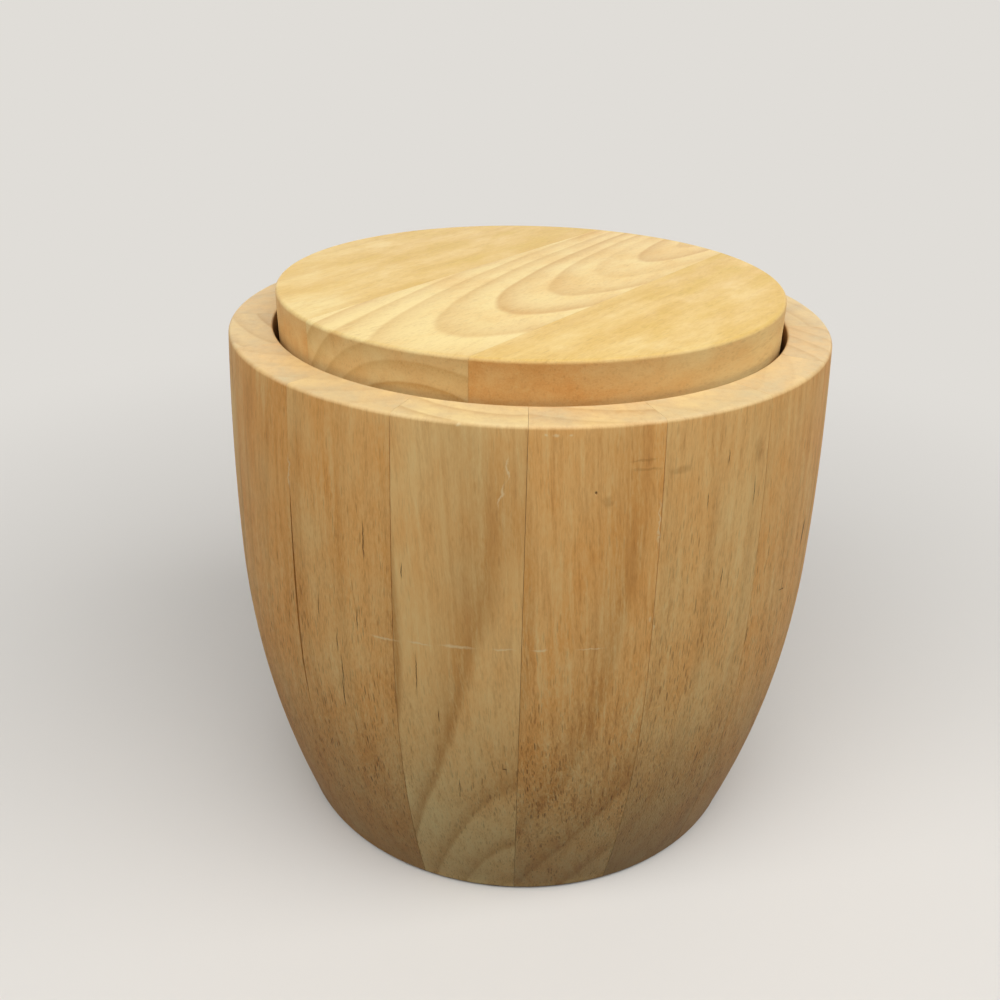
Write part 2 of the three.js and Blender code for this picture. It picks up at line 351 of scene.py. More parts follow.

# %% [markdown]
# ## Rubberwood: colours
# The colours go from pale straw over honey to brown, with brown pores. Tints of painted light change them:
# the rim is painted greyer and the top of the lid golden, as lit from above. The painted light lies
# unevenly, after the clouds.
# Cracks and painted shade show dark, and scuffs show pale where the lacquer is broken.

# %% Wood colours
PALE, HONEY, BROWN = linear("#F4DC9C"), linear("#E9AA5E"), linear("#B07133")
LATEWOOD, GOLDEN_LATEWOOD = linear("#B07632"), linear("#C58B3A")
# Tints of painted light: a grey one for the rim and a golden one for the lid's top, as lit from above.
GREY_LIGHT_TINT, GOLDEN_LIGHT_TINT = linear("#D6C094"), linear("#DDB75D")
# The second colour here is painted shade, for the foot, the wall of the mouth and the front of the lid's
# side.
PORE, PAINTED_SHADE = linear("#6B3A0E"), linear("#6A5034")
STAIN, CRACK, SCUFF = linear("#9A642A"), linear("#54310F"), linear("#F0DCAC")
STAIN_COVER, CRACK_COVER, SCUFF_COVER = 0.3, 0.85, 0.5
PATCHY = 3.5  # how unevenly the clouds spread the tint of painted light


def wear(tree):
    """The stains, cracks and scuffs, each as how far it covers the wood and its colour."""
    ragged, torn, outer = skin(tree)
    layers = []
    for unrolled, places, cover, paint in (
        (torn, STAINS, STAIN_COVER, STAIN),
        (ragged, CRACKS, CRACK_COVER, CRACK),
        (torn, SCUFFS, SCUFF_COVER, SCUFF),
    ):
        mark = marked(tree, unrolled, outer, places)
        layers.append((add(tree, "Math", {0: mark, 1: cover}, operation="MULTIPLY"), paint))
    return layers


print("stains cover", STAIN_COVER, "cracks", CRACK_COVER, "and scuffs", SCUFF_COVER)

# %% [markdown]
# ## Rubberwood: the surface
# Colour alone would look printed. The fibres stand up a little, and pores and cracks are small dents, so
# the bump node tilts the light over them. A worn satin lacquer over open pores mirrors little, so the
# reflection is set below that of a closed film, and the dents are duller still.

# %% Lacquered surface
LACQUER_IOR, LACQUER_SHEEN = 1.47, 0.3
DENT_DULL = 0.12  # how much rougher a dent is
OPEN_RELIEF, CLOSED_RELIEF = 1.6, 0.2  # how far the fibres stand up with open pores, and without
RELIEF_MM, RELIEF_STRENGTH = 0.16, 0.9


def surface(tree, layers, dent, streak, openness, roughness):
    """Paints the layers over pale wood one by one, and gives the result its sheen and its dents."""
    colour = PALE
    for cover, paint in layers:
        mixed = add(tree, "Mix", {"Factor": cover, "A": colour, "B": paint}, data_type="RGBA")
        colour = mixed.outputs["Result"]
    dull = add(tree, "Math", {0: dent, 1: DENT_DULL, 2: roughness}, operation="MULTIPLY_ADD")
    raised = add(tree, "Math", {0: openness, 1: OPEN_RELIEF, 2: CLOSED_RELIEF}, operation="MULTIPLY_ADD")
    relief = add(tree, "Math", {0: streak, 1: raised}, operation="MULTIPLY")
    relief = add(tree, "Math", {0: relief, 1: dent}, operation="ADD")
    bump = add(tree, "Bump", {"Strength": RELIEF_STRENGTH, "Distance": RELIEF_MM * MM, "Height": relief},
               invert=True)
    shader = add(tree, "BsdfPrincipled", {"Base Color": colour, "Roughness": dull, "Normal": bump,
                                          "IOR": LACQUER_IOR, "Specular IOR Level": LACQUER_SHEEN})
    add(tree, "OutputMaterial", {"Surface": shader})


print("pores and cracks are drawn up to", RELIEF_MM, "mm deep")

# %% [markdown]
# ## Rubberwood: the finished materials
# The board's tone, with the clouds, chooses a colour between straw, honey and brown. A tint of painted
# light, rings, streaks, pores and painted shade are laid over it in turn, and the marks of use come last.
# The same function makes all three finishes, because only the surface and the tint of painted light differ.

# %% Rubberwood material


def rubberwood(name, roughness, light_tint=GREY_LIGHT_TINT, latewood=LATEWOOD, cloudy=1.1, late=2.6, first_year=0.0,
               worn=False):
    """A rubberwood material, with the marks of use on the outside of the wall if it is worn."""
    material, tree = new_material(name)
    look = add(tree, "Attribute", attribute_name="board_look").outputs["Vector"]
    ring_mm, figure, tone = add(tree, "SeparateXYZ", {0: look}).outputs
    state = add(tree, "Attribute", attribute_name="board_skin").outputs["Vector"]
    openness, light_share, streaky = add(tree, "SeparateXYZ", {0: state}).outputs
    # This attribute is painted shade: how far shade is painted onto the board.
    painted_shade = add(tree, "Attribute", attribute_name="board_painted_shade").outputs["Fac"]
    place, wavy = grain(tree)
    cloud = drift(tree, wavy, CLOUD)
    depth = add(tree, "Math", {0: cloud, 1: cloudy, 2: tone}, operation="MULTIPLY_ADD")
    beyond = add(tree, "Math", {0: depth, 1: 1.0}, operation="SUBTRACT")
    # The patchy tint below is painted light, spread unevenly by the clouds.
    patchy = add(tree, "Math", {0: cloud, 1: PATCHY, 2: 1.0}, operation="MULTIPLY_ADD")
    patchy = add(tree, "Math", {0: patchy, 1: light_share}, operation="MULTIPLY")
    ring = rings(tree, place, ring_mm, late, first_year)
    ring = add(tree, "Math", {0: ring, 1: figure}, operation="MULTIPLY")
    streak = streaks(tree, wavy, streaky, openness)
    light = add(tree, "Math", {0: streak, 1: -1.0}, operation="MULTIPLY")
    pore = add(tree, "Math", {0: pores(tree, wavy, cloud), 1: openness}, operation="MULTIPLY")
    layers = [(depth, HONEY), (beyond, BROWN), (patchy, light_tint), (ring, latewood), (light, PALE),
              (streak, BROWN), (pore, PORE), (painted_shade, PAINTED_SHADE)]
    dent = pore
    if worn:
        stain, crack, scuff = wear(tree)
        layers += [stain, crack, scuff]
        dent = add(tree, "Math", {0: crack[0], 1: pore}, operation="MAXIMUM")
    surface(tree, layers, dent, streak, openness, roughness)
    print(name, "has", len(tree.nodes), "nodes")
    return material


# Worn satin lacquer gives the eye a broad, weak sheen, broken by dull pores, cracks and pale scuffs.
worn_rubberwood = rubberwood("rubberwood_satin_lacquer_worn", 0.58, worn=True)
# The lid's lacquer is whole: a little more sheen, golden rings, slow clouds, and a golden tint of painted
# light on the top.
lacquered_rubberwood = rubberwood("rubberwood_satin_lacquer", 0.56, light_tint=GOLDEN_LIGHT_TINT, latewood=GOLDEN_LATEWOOD,
                                  cloudy=1.3, late=1.5, first_year=1053.0)
# Sanded bare wood looks dry: no sheen, only the pattern.
bare_rubberwood = rubberwood("rubberwood_sanded_bare", 0.75)

# %% [markdown]
# ## Sawing boards from logs
# Each board gets its own log: how far the pith lies from the board and on which side, how much the
# tree leans against the board, how wide the rings are, how strongly they show, and how deep the tone is.
# The leaning and the pith's distance decide the figure: a near pith gives flame shapes, a far one stripes.
# A ring width below zero turns the dark edge of each ring towards the pith.
# What use did to the board, and the painted light and painted shade on it, is written on its vertices too,
# so that one material serves all.

# %% Board helper


def share(value, none, full):
    """How far a value has come from one limit to another, from 0 to 1."""
    return min(max((value - none) / (full - none), 0.0), 1.0)


def saw(mesh, axes, centre, log, skin_at):
    """Writes on each vertex its place in the log, in millimetres, and the board's look.

    Axes are across, depth, along. At a vertex, skin_at gives how far the tone is paler, partly as painted
    light, how open the pores are, how far a tint of painted light covers it, how strong the streaks and the
    rings are, and how far painted shade darkens it."""
    pith, lean, ring_mm, figure, tone = log
    turn = Matrix.Rotation(math.radians(lean[0]), 3, "X") @ Matrix.Rotation(math.radians(lean[1]), 3, "Y")
    places, looks, skins, painted_shades = [], [], [], []
    for vertex in mesh.vertices:
        offset = vertex.co / MM - centre
        own = Vector([offset.dot(axis) for axis in axes])
        # The paler tone is partly painted light, and the last value is painted shade.
        paler_and_lit, openness, light_share, streaky, ringed, painted_shade = skin_at(vertex)
        places.extend(turn @ own - Vector(pith))
        looks.extend((ring_mm, figure * ringed, tone - paler_and_lit))
        skins.extend((openness, light_share, streaky))
        painted_shades.append(painted_shade)
    for name, values in (("log_place", places), ("board_look", looks), ("board_skin", skins)):
        mesh.attributes.new(name, "FLOAT_VECTOR", "POINT").data.foreach_set("vector", values)
    mesh.attributes.new("board_painted_shade", "FLOAT", "POINT").data.foreach_set("value", painted_shades)


print("a height of 60 mm is", share(60, 80, 0), "of the way down from 80 mm to the floor")

# %% [markdown]
# ## Handing a piece to its body
# Every finished mesh becomes an object that stands in for one CAD solid and rides on that solid's body, so
# that it moves when the joint moves. Curved faces are shaded smooth, and edges above an angle stay sharp.

# %% Piece helper
SHARP_DEGREES = 35


def finish_piece(name, mesh, material, body, node):
    """Makes the object, smooths its curved faces, and hands it to the CAD body it belongs to."""
    mesh.materials.append(material)
    mesh.shade_smooth()
    mesh.set_sharp_from_angle(angle=math.radians(SHARP_DEGREES))
    piece = bpy.data.objects.new(name, mesh)
    bpy.context.scene.collection.objects.link(piece)
    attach(piece, body)
    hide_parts(node)
    return piece


print("edges over", SHARP_DEGREES, "degrees stay sharp")

# %% [markdown]
# ## The wall's profile
# Turned work is drawn as half a cross-section. Bevel modifiers would round every edge alike, so the sanded
# rounds are points of the profile: a wide one at the foot, narrow ones at the rim and the mouth.
# Inside, a ledge holds the liner, and a groove near the foot holds the base.

# %% Stave profile
RIM_ROUND, MOUTH_ROUND, FOOT_ROUND = 1.2, 0.8, 2.4
GROOVE_LOW, GROOVE_HIGH, GROOVE_DEPTH = 7.0, 17.0, 5.0
OUTER_STEPS, INNER_STEPS = 56, 24
GROOVE_RADIUS = outside(GROOVE_LOW) - WALL + GROOVE_DEPTH


def corner(radius, height, size, start, end, steps=6):
    """Points of a rounded edge about its centre, with angles in degrees, in (radius, height)."""
    angles = [math.radians(start + (end - start) * i / steps) for i in range(steps + 1)]
    return [(radius + size * math.cos(a), height + size * math.sin(a)) for a in angles]


def wall_points(start, end, steps, inset=0.0):
    """Points up or down the turned wall, set in from the outside."""
    heights = [start + (end - start) * i / steps for i in range(steps + 1)]
    return [(outside(z) - inset, z) for z in heights]


rim_side = BODY_HEIGHT - RIM_ROUND
stave_profile = [
    (outside(0) - WALL, 0.0),
    *corner(outside(FOOT_ROUND) - FOOT_ROUND, FOOT_ROUND, FOOT_ROUND, -90, 0),
    *wall_points(FOOT_ROUND, rim_side, OUTER_STEPS)[1:],
    *corner(outside(rim_side) - RIM_ROUND, rim_side, RIM_ROUND, 0, 90)[1:],
    *corner(MOUTH_RADIUS + MOUTH_ROUND, BODY_HEIGHT - MOUTH_ROUND, MOUTH_ROUND, 90, 180),
    (MOUTH_RADIUS, LEDGE_HEIGHT),
    *wall_points(LEDGE_HEIGHT, GROOVE_HIGH, INNER_STEPS, WALL),
    (GROOVE_RADIUS, GROOVE_HIGH),
    (GROOVE_RADIUS, GROOVE_LOW),
    (outside(GROOVE_LOW) - WALL, GROOVE_LOW),
]
print("stave profile has", len(stave_profile), "points")

# %% [markdown]
# ## Staves
# The staves are bevelled, glued edge to edge and then turned as one block, so their outsides are flush
# and only a hair of glue line shows between them. Dry rooms have opened one joint on the left of the front.
# Each stave is a strip of the turned profile, swept from one glue line to the next. Lines painted on one
# whole ring would be quicker, but real gaps catch their own shadow.

# %% Stave meshes
GLUE_LINE = 0.07
chooser = random.Random(17)
GLUE_LINES = [chooser.uniform(0.08, 0.2) for _ in range(STAVES)]
GLUE_LINES[:3], GLUE_LINES[-2:] = (0.10, 0.15, 0.15), (0.07, 0.16)  # as seen on the front
GLUE_DEPTH = 6.0  # how far in from the outside a glue line has shrunk open
OPEN_JOINT, OPEN_FROM, OPEN_TO, OPEN_WIDTH = STAVES - 2, 70.0, 148.0, 0.8
SWEEP_STEPS = 12


def half_gap(joint, radius, z):
    """Half the gap at a glue line, as an angle."""
    gap = GLUE_LINE
    if radius > outside(z) - GLUE_DEPTH and z < rim_side:
        gap = GLUE_LINES[joint % STAVES]
        if joint % STAVES == OPEN_JOINT and OPEN_FROM < z < OPEN_TO:
            gap += OPEN_WIDTH * math.sin(math.pi * (z - OPEN_FROM) / (OPEN_TO - OPEN_FROM)) ** 0.5
    return math.asin(gap / 2 / radius)


def stave_mesh(index):
    """One stave, swept round from its glue line to the next and closed at both."""
    points, faces = [], []
    count = len(stave_profile)
    for step in range(SWEEP_STEPS + 1):
        for radius, z in stave_profile:
            first = index * STAVE_STEP + half_gap(index, radius, z)
            last = (index + 1) * STAVE_STEP - half_gap(index + 1, radius, z)
            angle = first + (last - first) * (step / SWEEP_STEPS)
            points.append((radius * MM * math.sin(angle), -radius * MM * math.cos(angle), z * MM))
    for step in range(SWEEP_STEPS):
        for j in range(count):
            a, b = step * count + j, step * count + (j + 1) % count
            faces.append((a, a + count, b + count, b))
    faces.append(tuple(range(count)))
    faces.append(tuple(reversed(range(SWEEP_STEPS * count, (SWEEP_STEPS + 1) * count))))
    mesh = bpy.data.meshes.new(f"stave_{index + 1:02d}_turned")
    mesh.from_pydata(points, [], faces)
    return mesh


print("glue lines in mm:", [round(gap, 2) for gap in GLUE_LINES])

# %% [markdown]
# ## What use did to the staves, and the painted light and shade on them
# The rim is painted paler and greyer, as painted light from above. Where the wall curves in and cuts across
# the grain, the pores stand open. Painted shade darkens the outside towards the foot, and the wall of the
# mouth. All of it depends on the height, so it is computed for each vertex, with its own amounts for each
# front stave.

# %% Stave skins
# For each stave that shows on the front: the height in millimetres below which the pores open, how far they
# do, how much paler the foot is, how strong the streaks are, and how much painted shade darkens the foot.
FRONT_SKINS = {
    14: (150, 0.9, 0.0, 1.2, 0.5), 15: (165, 0.9, 0.0, 1.1, 0.5), 16: (110, 0.6, 0.3, 1.2, 0.05),
    0: (130, 0.9, 0.3, 1.8, 0.3), 1: (170, 0.9, 0.0, 1.1, 0.65), 2: (175, 0.9, 0.0, 1.2, 0.55),
}
RIM_LIGHT_PALER, RIM_LIGHT_GREY, RIM_CALM = 0.35, 0.6, 0.6  # painted light makes the rim paler and greyer by the first two, and it is less streaky by the last
WIDE_OPEN, FOOT, FOOT_FILLED = 50, 15, 0.5  # heights of the most open pores and of those dirt half fills
CLOSED = 0.25  # the share of their openness that the pores keep higher up
PALER_FROM, PALER_TO = 75, 35
FADE_FROM, FADE_TO, RINGS_FADE = 130, 175, 0.4  # the rings fade towards the rim
# Painted shade grows on the outside from this height down to the foot.
FOOT_SHADE_FROM = 80
MOUTH_SHADE, MOUTH_SHADE_EDGE = 0.8, 0.3  # how dark the painted shade on the wall of the mouth is, and over how many millimetres that starts


def stave_skin(open_from, openness, foot_paler, streaky, foot_shade):
    """The state of a stave's surface, as a function of the vertex."""

    def at(vertex):
        z, radius = vertex.co.z / MM, vertex.co.xy.length / MM
        rim = share(z, BODY_HEIGHT - RIM_ROUND, BODY_HEIGHT)
        low = share(z, open_from, WIDE_OPEN) - FOOT_FILLED * share(z, WIDE_OPEN, FOOT)
        # The rim's part of the paler tone, and its grey tint, are painted light as from above; the foot's
        # part is only a paler tone.
        paler_and_lit = RIM_LIGHT_PALER * rim + foot_paler * share(z, PALER_FROM, PALER_TO)
        ringed = 1.0 - RINGS_FADE * share(z, FADE_FROM, FADE_TO)
        open_here = openness * (CLOSED + (1 - CLOSED) * low) * (1 - rim)
        # Painted shade: the wall of the mouth is darkened, and the outside towards the foot.
        if z > LEDGE_HEIGHT - 1:
            painted_shade = MOUTH_SHADE * share(radius, MOUTH_RADIUS + MOUTH_SHADE_EDGE, MOUTH_RADIUS)
        else:
            on_outside = radius > outside(z) - FOOT_ROUND - 0.5
            painted_shade = foot_shade * share(z, FOOT_SHADE_FROM, 0) * on_outside
        return paler_and_lit, open_here, RIM_LIGHT_GREY * rim, streaky * (1 - RIM_CALM * rim), ringed, painted_shade

    return at


print("pores are widest open", WIDE_OPEN, "mm above the floor")

# %% [markdown]
# ## Sawing the staves
# The rings of the front staves follow those of the real bucket: the middle two were cut near the pith and
# lean, so their rings rise from the foot as bent bands, and the others are plain. Nothing is known of the
# back, so its logs are drawn by chance from the same range.

# %% Stave pieces
# The log of each stave that shows on the front, as pith, lean, ring width, figure and tone.
FRONT_LOGS = {
    14: ((-50, -60), (1.0, -2.0), 9.0, 0.25, 0.95),
    15: ((-38, -58), (-1.0, 1.0), 9.0, 0.25, 0.82),
    16: ((11.8, -44.1), (-2.93, 3.92), -7.295, 0.75, 0.60),
    0: ((19.2, -64.0), (-2.86, 2.69), -7.962, 0.60, 0.88),
    1: ((46, -64), (-0.5, -1.0), 9.0, 0.25, 0.68),
    2: ((-25, -75), (1.5, 1.0), 8.0, 0.25, 0.84),
}
LOG_STEP = 310.0  # each stave is sawn this much further along, so that no two share a pattern
UP = Vector((0, 0, 1))

for index in range(STAVES):
    any_log = (
        (chooser.uniform(-60, 60), chooser.uniform(-80, -35)),
        (chooser.uniform(-3, 3), chooser.uniform(-3, 3)),
        chooser.choice((-1, 1)) * chooser.uniform(7.0, 10.0),
        chooser.uniform(0.3, 0.8),
        chooser.uniform(0.5, 0.95),
    )
    any_skin = (150, 0.9, 0.1, chooser.uniform(1.0, 1.8), 0.4)
    pith, *look = FRONT_LOGS.get(index, any_log)
    log = ((*pith, index * LOG_STEP), *look)
    angle = (index + 0.5) * STAVE_STEP
    tangent = Vector((math.cos(angle), math.sin(angle), 0))
    outward = Vector((math.sin(angle), -math.cos(angle), 0))
    belly = outward * BELLY_RADIUS + Vector((0, 0, BELLY_HEIGHT))
    node = f"stave_{index + 1:02d}"
    mesh = stave_mesh(index)
    saw(mesh, (tangent, outward, UP), belly, log, stave_skin(*FRONT_SKINS.get(index, any_skin)))
    finish_piece(f"{node}_turned", mesh, worn_rubberwood, "bucket", node)
print("staves:", STAVES, "each with", len(mesh.vertices), "vertices")

# %% [markdown]
# ## Discs of boards
# The lid and the base panel are three boards glued edge to edge and then turned to a disc. The disc is
# spun from its profile and cut along the glue lines, and each cut is closed again, just as the real boards
# end in a flat glued edge.

# %% Disc and board helpers
TURNED_STEPS = 192


def spun(profile):
    """A body spun from a profile in (radius, height)."""
    body = bmesh.new()
    loops = []
    angles = [2 * math.pi * i / TURNED_STEPS for i in range(TURNED_STEPS)]
    for radius, z in profile:
        if radius < 1e-6:
            loops.append([body.verts.new((0, 0, z * MM))])
            continue
        loops.append([body.verts.new((radius * MM * math.sin(a), -radius * MM * math.cos(a), z * MM))
                      for a in angles])
    for low, high in zip(loops, loops[1:]):
        for i in range(TURNED_STEPS):
            k = (i + 1) % TURNED_STEPS
            face = [low[i % len(low)], low[k % len(low)], high[k % len(high)], high[i % len(high)]]
            body.faces.new(list(dict.fromkeys(face)))
    return body


def mesh_of(body, name):
    """The finished mesh of a body, which is then freed."""
    mesh = bpy.data.meshes.new(name)
    body.to_mesh(mesh)
    body.free()
    return mesh


def board(profile, name, direction, low, high):
    """The part of a spun disc between two glue lines across a horizontal direction, in millimetres."""
    body = spun(profile)
    for place, sign in ((low, -1), (high, 1)):
        if place is None:
            continue
        cut = bmesh.ops.bisect_plane(
            body, geom=[*body.verts, *body.edges, *body.faces],
            plane_co=direction * (place - sign * GLUE_LINE / 2) * MM, plane_no=direction * sign,
            clear_outer=True)
        edges = [e for e in cut["geom_cut"] if isinstance(e, bmesh.types.BMEdge)]
        bmesh.ops.contextual_create(body, geom=edges)
    bmesh.ops.recalc_face_normals(body, faces=body.faces)
    return mesh_of(body, name)


print("discs have", TURNED_STEPS, "steps")

# %% [markdown]
# ## The lid's shape
# The lid has no knob: it stands proud of the rim so that fingers can take it by its edge, which is only
# lightly sanded. Below, a plug drops into the liner and keeps the lid in its place.
# Its boards run from the front left to the back right.

# %% Lid profile
LID_BOTTOM, LID_TOP = (point.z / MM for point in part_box("lid_board_middle"))
LINER_BOTTOM, LINER_TOP = (point.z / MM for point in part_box("liner"))
LID_RADIUS, LID_EDGE_ROUND, LID_CHAMFER = 84.3, 1.2, 1.0
LINER_WALL = 2.2
NECK_PLAY, PLUG_PLAY, SEAT_GAP = 1.0, 1.5, 0.3
NECK_RADIUS = BORE_RADIUS - NECK_PLAY
LINER_MOUTH = NECK_RADIUS - LINER_WALL
PLUG_RADIUS = LINER_MOUTH - PLUG_PLAY
LID_SEAT = LINER_TOP + SEAT_GAP
LID_TURN = math.radians(55)
LID_SEAMS = (-34.1, 22.9)
lid_profile = [
    (0.0, LID_BOTTOM),
    (PLUG_RADIUS - LID_CHAMFER, LID_BOTTOM),
    (PLUG_RADIUS, LID_BOTTOM + LID_CHAMFER),
    (PLUG_RADIUS, LID_SEAT),
    (LID_RADIUS - LID_CHAMFER, LID_SEAT),
    (LID_RADIUS, LID_SEAT + LID_CHAMFER),
    *corner(LID_RADIUS - LID_EDGE_ROUND, LID_TOP - LID_EDGE_ROUND, LID_EDGE_ROUND, 0, 90, 10),
    (0.0, LID_TOP),
]
along = Vector((math.cos(LID_TURN), math.sin(LID_TURN), 0))
left = Vector((-math.sin(LID_TURN), math.cos(LID_TURN), 0))
print("the lid stands", round(LID_TOP - BODY_HEIGHT, 1), "mm above the rim")

# %% [markdown]
# ## The lid's boards
# The middle board was sawn flat near the pith and shows a flame figure, and the outer two are plainer.
# The top is painted paler and golden, as painted light from above, with less gold at its near end. Round the
# side, the end grain is deeper, partly from the lacquer it has drunk and partly as painted shade, and
# painted shade darkens the front.

# %% Lid boards
# The glue lines on both sides, the tone of the top, which is paler than the side as painted light, how far a
# golden tint of painted light covers it, how much deeper the end grain is, partly as painted shade, and the
# log.
LID_LOGS = {
    "left": (LID_SEAMS[1], None, 0.32, 0.66, 0.6, ((-150, -60, 400), (0.5, 1.0), 12.0, 0.15, 0.18)),
    "middle": (*LID_SEAMS, 0.10, 0.20, 0.52, ((18, -21, 800), (12.0, 0.0), 5.9, 0.60, -0.06)),
    "right": (None, LID_SEAMS[0], 0.30, 0.66, 0.75, ((120, -70, 1200), (-0.5, -1.0), 11.0, 0.15, 0.22)),
}
FAR_LESS_PALE, FAR_MORE_GOLDEN = 0.15, 0.3  # how far the top's painted light, its paleness and its golden tint, changes from the middle to the far end
FRONT_SHADE, FRONT_SHADE_SIDE = 0.25, 0.55  # how dark the painted shade on the front of the side is, and how far to the front that starts
LID_OPENNESS, LID_STREAKS = 0.15, 0.5  # the lid's pores are nearly closed, and its streaks weak


def lid_skin(paler_and_lit, golden_light, end_grain_and_shade):
    """The state of a lid board's surface, as a function of the vertex."""

    def at(vertex):
        z = vertex.co.z / MM
        top = share(z, LID_TOP - LID_EDGE_ROUND, LID_TOP)
        edge = share(z, LID_SEAT, LID_SEAT + LID_CHAMFER) * (1 - top)
        facing = vertex.co.xy.normalized()
        reach = vertex.co.dot(along) / MM / LID_RADIUS
        # The top's paleness is painted light; the deeper side is partly end grain and partly painted shade.
        paler = (paler_and_lit - FAR_LESS_PALE * reach) * top - end_grain_and_shade * abs(facing.dot(along.xy)) * edge
        light_share = golden_light * (1 + FAR_MORE_GOLDEN * reach) * top
        # Painted shade darkens the side where it faces the front.
        painted_shade = FRONT_SHADE * share(-facing.y, FRONT_SHADE_SIDE, 1.0) * edge
        return paler, LID_OPENNESS, light_share, LID_STREAKS, 1.0, painted_shade

    return at


for side, (low, high, top_tone, golden_light, end_grain_and_shade, log) in LID_LOGS.items():
    node = f"lid_board_{side}"
    mesh = board(lid_profile, f"{node}_turned", left, low, high)
    skin_at = lid_skin(log[-1] - top_tone, golden_light, end_grain_and_shade)
    saw(mesh, (-left, UP, along), Vector((0, 0, LID_TOP)), log, skin_at)
    finish_piece(f"{node}_turned", mesh, lacquered_rubberwood, "lid", node)
    print(node, "has", len(mesh.vertices), "vertices")

# %% [markdown]
# ## Base panel
# The base sits in the groove, and shows only from below and with the liner out. One disc with drawn lines
# would do for the eye, but the lid's helper makes real boards at no cost. It is sanded but not lacquered,
# and its edges are left square.

# %% Base boards
BASE_BOTTOM, BASE_TOP = (point.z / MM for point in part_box("base_board_middle"))
BASE_SEAMS = (-28.0, 28.0)
BASE_PLAY = 0.3
BASE_RADIUS = GROOVE_RADIUS - BASE_PLAY
base_profile = [(0.0, BASE_BOTTOM), (BASE_RADIUS, BASE_BOTTOM), (BASE_RADIUS, BASE_TOP), (0.0, BASE_TOP)]
BASE_LOGS = {
    "left": (BASE_SEAMS[1], None, ((25, -60, 1600), (2.0, 0.5), 5.0, 0.4, 0.45)),
    "middle": (*BASE_SEAMS, ((-10, -45, 2000), (4.0, 1.0), 4.0, 0.5, 0.30)),
    "right": (None, BASE_SEAMS[0], ((-40, -70, 2400), (-1.5, 1.0), 6.0, 0.4, 0.55)),
}
BASE_SKIN = (0.0, 0.3, 0.0, 2.0, 1.0, 0.0)  # partly open pores and strong streaks, with no painted light and no painted shade
across, along_grain = Vector((0, 1, 0)), Vector((1, 0, 0))

for side, (low, high, log) in BASE_LOGS.items():
    node = f"base_board_{side}"
    mesh = board(base_profile, f"{node}_turned", across, low, high)
    saw(mesh, (across, -UP, along_grain), Vector((0, 0, BASE_BOTTOM)), log, lambda vertex: BASE_SKIN)
    finish_piece(f"{node}_turned", mesh, bare_rubberwood, "bucket", node)
    print(node, "has", len(mesh.vertices), "vertices")

# %% [markdown]
# ## The liner's plastic
# The liner is injection-moulded polypropylene, black through and through. The mould's spark-eroded wall
# leaves a fine satin grit, drawn coarser here than the real tenth of a millimetre so that it shows, and
# wiping leaves patches that shine more. Two noises give both.

# %% Polypropylene material
GRIT_MM, SMEAR_MM = 0.5, 40.0
# Moulded polypropylene gives the eye a soft dark glow along its curves, and no clear reflection.
black_polypropylene, tree = new_material("polypropylene_moulded_black")
at = add(tree, "TexCoord").outputs["Object"]
grit = add(tree, "TexNoise", {"Vector": at, "Scale": 1 / (GRIT_MM * MM), "Detail": 2.0})
smear = add(tree, "TexNoise", {"Vector": at, "Scale": 1 / (SMEAR_MM * MM), "Detail": 3.0})
rough = add(tree, "MapRange", {"Value": smear, "From Min": 0.3, "From Max": 0.7,
                               "To Min": 0.36, "To Max": 0.5})
shade = add(tree, "Mix", {"Factor": grit, "A": linear("#161617"), "B": linear("#202021")}, data_type="RGBA")
bump = add(tree, "Bump", {"Strength": 0.2, "Distance": 0.05 * MM, "Height": grit})
shader = add(tree, "BsdfPrincipled", {"Base Color": shade.outputs["Result"], "Roughness": rough,
                                      "Normal": bump, "IOR": 1.49})
add(tree, "OutputMaterial", {"Surface": shader})
print(black_polypropylene.name, "has", len(tree.nodes), "nodes")

# %% [markdown]
# ## Liner
# The liner is a tapered bucket that hangs on the ledge by its flange, so that it lifts out to be emptied.
# The taper lets it leave its mould, and the gate has left a small dimple under the floor.
# Like the lid it is one spun profile, here with an outside and an inside.

# %% Liner mesh
FLANGE, FLANGE_PLAY, FOOT_PLAY = 2.5, 0.5, 2.5
FLANGE_RADIUS = MOUTH_RADIUS - FLANGE_PLAY
FLANGE_UNDER, FLANGE_TOP, LIP_ROUND = 0.5, 0.8, 1.2  # the rounds of the flange and of the inner lip
GATE_RADIUS, GATE_SLOPE, GATE_DEPTH = 2.5, 0.5, 0.2
LINER_FOOT = outside(LINER_BOTTOM) - WALL - FOOT_PLAY
LINER_CORNER = 9.0
corner_at = (LINER_FOOT - LINER_CORNER, LINER_BOTTOM + LINER_CORNER)
liner_profile = [
    (0.0, LINER_BOTTOM + GATE_DEPTH),
    (GATE_RADIUS, LINER_BOTTOM + GATE_DEPTH),
    (GATE_RADIUS + GATE_SLOPE, LINER_BOTTOM),
    *corner(*corner_at, LINER_CORNER, -90, 0, 10),
    (NECK_RADIUS, LINER_TOP - FLANGE),
    *corner(FLANGE_RADIUS - FLANGE_UNDER, LINER_TOP - FLANGE + FLANGE_UNDER, FLANGE_UNDER, -90, 0, 4),
    *corner(FLANGE_RADIUS - FLANGE_TOP, LINER_TOP - FLANGE_TOP, FLANGE_TOP, 0, 90, 5),
    *corner(LINER_MOUTH + LIP_ROUND, LINER_TOP - LIP_ROUND, LIP_ROUND, 90, 180, 6),
    *corner(*corner_at, LINER_CORNER - LINER_WALL, 0, -90, 10),
    (0.0, LINER_BOTTOM + LINER_WALL),
]
body = spun(liner_profile)
bmesh.ops.recalc_face_normals(body, faces=body.faces)
mesh = mesh_of(body, "liner_moulded")
finish_piece("liner_moulded", mesh, black_polypropylene, "liner", "liner")
print("liner has", len(mesh.vertices), "vertices")

